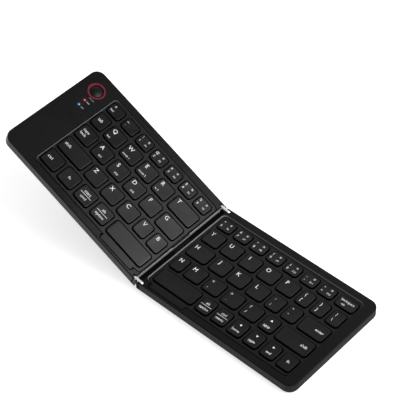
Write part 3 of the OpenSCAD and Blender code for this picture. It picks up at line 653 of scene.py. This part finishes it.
def film(plan):
    """A convex outline, its corners anticlockwise, as a thin prism of ink: (points, faces)."""
    n, t = len(plan), INK_THICKNESS / 2
    points = np.vstack([np.column_stack([plan, np.full(n, z)]) for z in (-t, t)])
    walls = [[i, (i + 1) % n, n + (i + 1) % n, n + i] for i in range(n)]
    return points, [list(range(n))[::-1], list(range(n, 2 * n))] + walls


def strip(x0, y0, x1, y1, width):
    """A straight printed line from (x0, y0) to (x1, y1)."""
    along = np.array([x1 - x0, y1 - y0])
    along = along / np.hypot(*along)
    out = np.array([-along[1], along[0]]) * width / 2
    return film(np.array([[x0, y0] - out, [x1, y1] - out, [x1, y1] + out, [x0, y0] + out]))


# A mark is a list of (points, faces), in millimetres from a cap's rear left corner. Its x is
# measured to the right of that corner and its y towards the front.
def placed(shapes, x, y):
    """Shapes moved x to the right and y towards the front."""
    return [(points + [x, -y, 0], faces) for points, faces in shapes]


def word(text, x, y, height, anchor="left"):
    """Text on a middle line at y, which starts at x, ends there, or is centred there."""
    points, faces = lettering(text, height)
    wide = points[:, 0].max()
    x -= {"left": 0, "centre": wide / 2, "right": wide}[anchor]
    return placed([(points, faces)], x, y + height / 2)


def arrow(x, y, degrees):
    """An arrowhead: a small solid triangle that points along an angle from +x."""
    c, s = np.cos(np.radians(degrees)), np.sin(np.radians(degrees))
    plan = np.array([[1.0, 0], [-0.7, 0.95], [-0.7, -0.95]]) @ [[c, s], [-s, c]]
    return placed([film(plan)], x, y)


def icon(x, y):
    """A small generic mark for a key's second use: a short bar over a chevron."""
    return placed([strip(-0.7, 0.55, 0.7, 0.55, ICON_WIDTH),
                   strip(-0.7, -0.55, 0, 0.05, ICON_WIDTH),
                   strip(0.7, -0.55, 0, 0.05, ICON_WIDTH)], x, y)


def rule(x0, x1, y):
    """A thin line across a cap, between two words."""
    return [strip(x0, -y, x1, -y, RULE_WIDTH)]


def big(letter):
    """A capital alone."""
    return [word(letter, 4.2, 3.9, BIG_HEIGHT, "centre")]


def two(upper, lower):
    """A sign over another sign."""
    return [word(upper, 3.6, 3.7, 2.5, "centre"), word(lower, 3.6, 9.4, 2.5, "centre")]


def number_keys(uppers, lowers, first):
    """Number keys with a sign over a digit, and the function keys from F first on."""
    return [[word(upper, 2.6, 2.9, 1.9, "centre"), word(lower, 2.6, 6.9, 2.0, "centre"),
             word("F%d" % n, 8.8, 6.9, 1.5, "centre"), icon(8.8, 2.9)]
            for n, (upper, lower) in enumerate(zip(uppers, lowers), first)]


def split(upper, lower):
    """Two words with a thin line between them."""
    return [word(upper, 7.2, 4.4, 2.3, "centre"), rule(1.8, 12.6, 6.9),
            word(lower, 7.2, 9.6, 2.2, "centre")]


legends = {
    "esc_key": [[word("esc", 2.0, 6.9, 1.9), icon(3.6, 3.0)]],
    "number_keys_1_to_5": [[word("~", 2.6, 3.7, 2.5, "centre"), word("`", 2.6, 8.2, 2.2, "centre")]]
    + number_keys("!@#$%", "12345", 1),
    "tab_key": [[word("tab", 2.7, 6.6, 2.4)]],
    "letter_keys_q_to_t": [big(letter) + [word(use, 2.3, 10.9, 1.6)] for letter, use in zip(
        "QWER", ("link", "mode 1", "mode 2", "m 3"))] + [big("T")],
    "caps_lock_key": [[word("caps", 2.7, 4.6, 2.3), word("lock", 2.7, 8.4, 2.3)]],
    "letter_keys_a_to_g": [big(letter) + [word(use, 6.4, 10.4, 1.7)] for letter, use in zip(
        "ASD", ("ch1", "ch2", "ch3"))] + [big("F"), big("G")],
    "left_shift_key": [[word("shift", 2.7, 6.6, 2.4)]],
    "letter_keys_z_to_b": [big(letter) for letter in "ZXCVB"],
    "left_ctrl_key": [[word("ctrl", 2.8, 7.0, 2.3)]],
    "left_fn_key": [[word("fn", 7.5, 7.0, 2.2, "centre")]],
    "start_key": [split("start", "cmd")],
    "left_alt_key": [split("alt", "option")],
    "number_keys_6_to_equals": number_keys("^&*()_+", "67890-=", 6),
    "backspace_key": [[word("backspace", 13.6, 3.6, 1.9, "right"), word("del", 5.0, 7.4, 1.6)]],
    "letter_keys_y_to_p": [big(letter) for letter in "YUIOP"],
    "bracket_keys": [two("{", "["), two("}", "]"), two("|", "\\")],
    "letter_keys_h_to_quote": [big(letter) for letter in "HJKL"] + [two(":", ";"), two('"', "'")],
    "enter_key": [[word("enter", 19.4, 6.7, 2.3, "right")]],
    "letter_keys_n_to_slash": [big("N"), big("M"), two("<", ","), two(">", "."), two("?", "/")],
    "up_key": [[arrow(5.6, 4.0, 90), word("pgup", 5.8, 9.7, 2.0, "centre")]],
    "right_shift_key": [[word("shift", 24.6, 6.7, 2.3, "right")]],
    "right_alt_key": [[word("alt", 5.8, 4.5, 2.2, "centre"), rule(1.0, 10.6, 6.9),
                       word("option", 5.8, 9.6, 2.1, "centre")]],
    "right_ctrl_key": [[word("ctrl", 5.8, 4.5, 2.2, "centre"), rule(1.0, 10.6, 6.9),
                        word("menu", 5.8, 9.6, 2.1, "centre")]],
    "left_arrow_key": [[arrow(5.8, 4.0, 180), word("home", 5.8, 9.5, 2.0, "centre")]],
    "down_key": [[arrow(5.8, 4.0, 270), word("pgdn", 5.8, 9.5, 2.0, "centre")]],
    "right_arrow_key": [[arrow(5.9, 4.0, 0), word("end", 5.9, 9.5, 2.0, "centre")]],
    "right_fn_key": [[word("fn", 6.1, 6.7, 2.2, "centre")]],
}


def lay_on_face(points, place):
    """A mark's points laid on the dished face of the cap at place, the ink's thickness above."""
    x0, x1, y0, y1 = place
    x, y = x0 + points[:, 0], y1 + points[:, 1]
    sink = face_dish(x - (x0 + x1) / 2, y - (y0 + y1) / 2, (x1 - x0) / 2, (y1 - y0) / 2)
    return np.column_stack([x, y, points[:, 2] + CAP_TOP - sink + INK_THICKNESS])


for node, per_key in legends.items():
    half, row, first, _ = cap_nodes[node]
    parts = []
    for index, marks in enumerate(per_key, first):
        place = cap_place(half, row, index)
        for points, faces in sum(marks, []):
            parts.append((HALF[half](lay_on_face(points, place)), faces))
    ink = piece(node + "_legends", parts, white_ink, node + "_body", smooth=False)


# ---------------------------------------------------------------------------
# The key plates and membranes: thin pressed steel under a rubber sheet with
# one dome for each key. They show only as dark edges between cap and deck.
# ---------------------------------------------------------------------------
DRAWN = (0.08, 1, 1)
METAL_PATCH, DRAWN_DEPTH = 0.06, 0.2

rubber_paint = moulded("black_silicone", (0.008, 0.008, 0.008), roughness=0.65, gloss=0.25,
                       grain=0.0002, bump=0.2)
finish(["right_membrane", "left_membrane"], rubber_paint)


def metal(name, colour, roughness, grain, bump):
    """Bare or plated metal: a fine noise stretched along X for its drawn surface."""
    paint, tree, shader = node_paint(name)
    shader.inputs["Metallic"].default_value = 1.0
    shader.inputs["Base Color"].default_value = (*colour, 1)
    where = tree.nodes.new("ShaderNodeTexCoord")
    stretch = tree.nodes.new("ShaderNodeMapping")
    stretch.inputs["Scale"].default_value = DRAWN
    tree.links.new(where.outputs["Object"], stretch.inputs["Vector"])
    lines = noise(tree, stretch.outputs["Vector"], 1 / grain, detail=3)
    wear = ramp(tree, lines, 0, 1, roughness - METAL_PATCH, roughness + METAL_PATCH)
    tree.links.new(wear, shader.inputs["Roughness"])
    roughen(tree, lines, bump, grain * DRAWN_DEPTH)
    return paint


steel = metal("plated_steel", (0.55, 0.56, 0.58), roughness=0.28, grain=0.0004, bump=0.1)
finish(["right_key_plate", "left_key_plate", "right_screws", "left_screws", "right_magnets",
        "left_magnets", "charging_socket"], steel)


# ---------------------------------------------------------------------------
# The power button: a satin black dome in a groove, inside a red anodised ring
# that is pressed into the panel from below by its flange.
# ---------------------------------------------------------------------------
ring_paint = metal("red_anodised_ring", (0.3, 0.035, 0.06), roughness=0.42, grain=0.0002,
                   bump=0.08)
finish(["power_ring"], ring_paint)
button_paint = moulded("button_satin_black", (0.003, 0.004, 0.004), roughness=0.36, gloss=0.25,
                       grain=0.0003, bump=0.03)
finish(["power_button"], button_paint)


# ---------------------------------------------------------------------------
# The status lights: clear pipes in the panel, one over a red lamp and one over
# a blue-white lamp, with small printed marks beside them and the button.
# ---------------------------------------------------------------------------
LIGHT_X = -131.6
LIGHTS = (("red_light", 20.9, (0.85, 0.42, 0.5), (0.09, 0.002, 0.012)),
          ("blue_light", 14.8, (0.7, 0.86, 0.98), (0.004, 0.03, 0.075)))
PIPE_CORE, PIPE_EDGE = 0.00015, 0.00085
HALO_EDGE, HALO_FULL, HALO_STRENGTH = 0.0027, 0.0009, 0.8


def distance_from(tree, middle):
    """A socket with each point's distance from middle, in metres."""
    where = tree.nodes.new("ShaderNodeTexCoord")
    gap = tree.nodes.new("ShaderNodeVectorMath")
    gap.operation = "DISTANCE"
    gap.inputs[1].default_value = middle
    tree.links.new(where.outputs["Object"], gap.inputs[0])
    return gap.outputs["Value"]


def lit(name, centre_colour, edge_colour, middle):
    """A lit pipe: its glow falls from centre_colour to edge_colour with the distance from the
    middle point, as the lamp below shows through."""
    paint, tree, shader = node_paint(name)
    shader.inputs["Roughness"].default_value = 0.25
    shader.inputs["Base Color"].default_value = (*edge_colour, 1)
    blend = tree.nodes.new("ShaderNodeMix")
    blend.data_type = "RGBA"
    blend.inputs["A"].default_value = (*centre_colour, 1)
    blend.inputs["B"].default_value = (*edge_colour, 1)
    tree.links.new(ramp(tree, distance_from(tree, middle), PIPE_CORE, PIPE_EDGE),
                   blend.inputs["Factor"])
    tree.links.new(blend.outputs["Result"], shader.inputs["Emission Color"])
    shader.inputs["Emission Strength"].default_value = 1.0
    return paint


def halo(paint, middle, colour):
    """A painted glow: the panel paint round a pipe is made to emit the light that the pipe spills
    on it, full near its middle and gone at HALO_EDGE. It adds to the halo of a pipe before it."""
    tree = paint.node_tree
    shader = tree.nodes["Principled BSDF"]
    glow = scaled(tree, colour, ramp(tree, distance_from(tree, middle), HALO_EDGE, HALO_FULL))
    if shader.inputs["Emission Color"].links:
        add = tree.nodes.new("ShaderNodeVectorMath")
        tree.links.new(shader.inputs["Emission Color"].links[0].from_socket, add.inputs[0])
        tree.links.new(glow, add.inputs[1])
        glow = add.outputs["Vector"]
    tree.links.new(glow, shader.inputs["Emission Color"])
    shader.inputs["Emission Strength"].default_value = HALO_STRENGTH


for node, y, centre_colour, edge_colour in LIGHTS:
    middle = tuple(on_left([[LIGHT_X, y, TABLE_TO_RIM]])[0])
    finish([node], lit(node + "_glow", centre_colour, edge_colour, middle))
    # Painted light: the left case's paint is made to glow round each pipe.
    halo(nodes["left_case"].data.materials[0], middle, edge_colour)

panel_marks = [(lettering("ON/OFF", 0.95), (-131.2, 24.8)),
               (strip(0, 0, 2.7, 0, 0.9), (-129.6, 21.0)),
               (strip(0, 0, 2.3, 0.3, 0.7), (-129.2, 14.6))]
parts = [(on_left(points + [x, y, TABLE_TO_RIM + INK_THICKNESS]), faces)
         for (points, faces), (x, y) in panel_marks]
marks = piece("panel_marks", parts, ink_paint("panel_ink", 0.28), "left_half", smooth=False)


# ---------------------------------------------------------------------------
# The hinge: two bright links with round ends on steel pins, joined by a black
# spine bar with the ribbon cable in its groove.
# ---------------------------------------------------------------------------
bright = metal("bright_nickel", (0.97, 0.97, 0.98), roughness=0.5, grain=0.0003, bump=0.03)
finish(["front_link", "rear_link"], bright)
finish(["right_hinge_pins", "left_hinge_pins"], steel)
spine_paint = moulded("spine_matt_black", (0.0015, 0.0015, 0.0015), roughness=0.8, gloss=0.08,
                      grain=0.0003, bump=0.1)
finish(["hinge_spine"], spine_paint)
cable_paint = moulded("ribbon_film", (0.003, 0.003, 0.003), roughness=0.6, gloss=0.15,
                      grain=0.0006, bump=0.1)
finish(["ribbon_cable"], cable_paint)


# ---------------------------------------------------------------------------
# The feet: a soft rubber strip along each rear edge and two round pads near
# each front edge, glued into shallow pockets of the covers.
# ---------------------------------------------------------------------------
foot_rubber = moulded("foot_rubber", (0.011, 0.011, 0.011), roughness=0.7, gloss=0.25,
                      grain=0.00025, bump=0.4)
finish(["right_feet", "left_feet"], foot_rubber)


# ---------------------------------------------------------------------------
# What is inside: a foil-covered cell, a green board with its parts, and the
# power switch under the button.
# ---------------------------------------------------------------------------
foil = metal("cell_foil", (0.6, 0.6, 0.62), roughness=0.35, grain=0.0015, bump=0.3)
finish(["battery"], foil)
board_paint = moulded("solder_resist", (0.01, 0.07, 0.03), roughness=0.4, gloss=0.5, grain=0.0008,
                      bump=0.2)
finish(["control_board"], board_paint)
switch_paint = moulded("switch_body", (0.02, 0.02, 0.02), roughness=0.45, gloss=0.4, grain=0.0003,
                       bump=0.1)
finish(["power_switch"], switch_paint)
